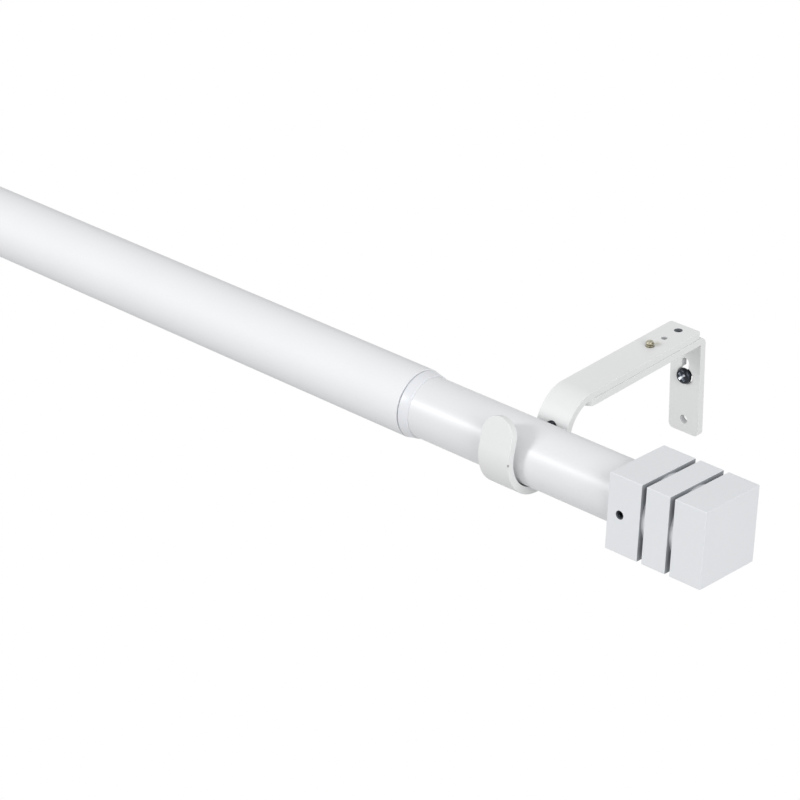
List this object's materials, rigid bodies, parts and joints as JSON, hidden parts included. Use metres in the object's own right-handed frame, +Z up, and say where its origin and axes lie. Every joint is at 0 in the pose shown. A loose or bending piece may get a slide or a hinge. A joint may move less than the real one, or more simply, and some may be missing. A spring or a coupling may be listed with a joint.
{
  "type": "extendable curtain rod",
  "caption": "Telescoping curtain rod with square finials, held by adjustable wall brackets.",
  "frame": {"origin": "middle of the left bracket's lower screw hole, in the plane of the wall", "axes": "+X along the rod from the outer tube to the inner tube, +Y into the wall, +Z up"},
  "size_m": [0.8725, 0.1105, 0.0481],
  "materials": {
    "outer_tube_paint": "satin",
    "inner_tube_paint": "gloss",
    "finial_paint": "matte",
    "bracket_paint": "satin",
    "collar_plastic": "gloss",
    "guide_plastic": "matte",
    "brass_screw": "zinc-yellow",
    "dark_screw_steel": "black nickel"
  },
  "bodies": {
    "left_wall_mount": {"left_wall_plate": "bracket_paint", "left_wall_screw": "dark_screw_steel"},
    "outer_rod": {"outer_tube": "outer_tube_paint", "tube_collar": "collar_plastic", "left_finial": "finial_paint", "left_finial_adapter": "guide_plastic", "left_finial_screw": "dark_screw_steel", "left_bracket_arm": "bracket_paint", "left_arm_screw": "brass_screw", "left_arm_washer": "brass_screw", "left_cradle_screw": "dark_screw_steel"},
    "inner_rod": {"inner_tube": "inner_tube_paint", "inner_tube_glide": "guide_plastic", "right_finial": "finial_paint", "right_finial_screw": "dark_screw_steel", "right_bracket_arm": "bracket_paint", "right_arm_screw": "brass_screw", "right_arm_washer": "brass_screw", "right_cradle_screw": "dark_screw_steel"},
    "right_wall_mount": {"right_wall_plate": "bracket_paint", "right_wall_screw": "dark_screw_steel"}
  },
  "joints": [
    {"name": "stand_off", "type": "slide", "parent": "left_wall_mount", "child": "outer_rod", "axis": [0, -1, 0], "range_m": [0, 0.0335]},
    {"name": "telescope", "type": "slide", "parent": "outer_rod", "child": "inner_rod", "axis": [1, 0, 0], "range_m": [-0.035, 0.425]},
    {"name": "right_stand_off", "type": "slide", "parent": "inner_rod", "child": "right_wall_mount", "axis": [0, 1, 0], "range_m": [0, 0.0335]}
  ],
  "couplings": [
    {"joint": "right_stand_off", "follows": "stand_off", "ratio": 1}
  ]
}
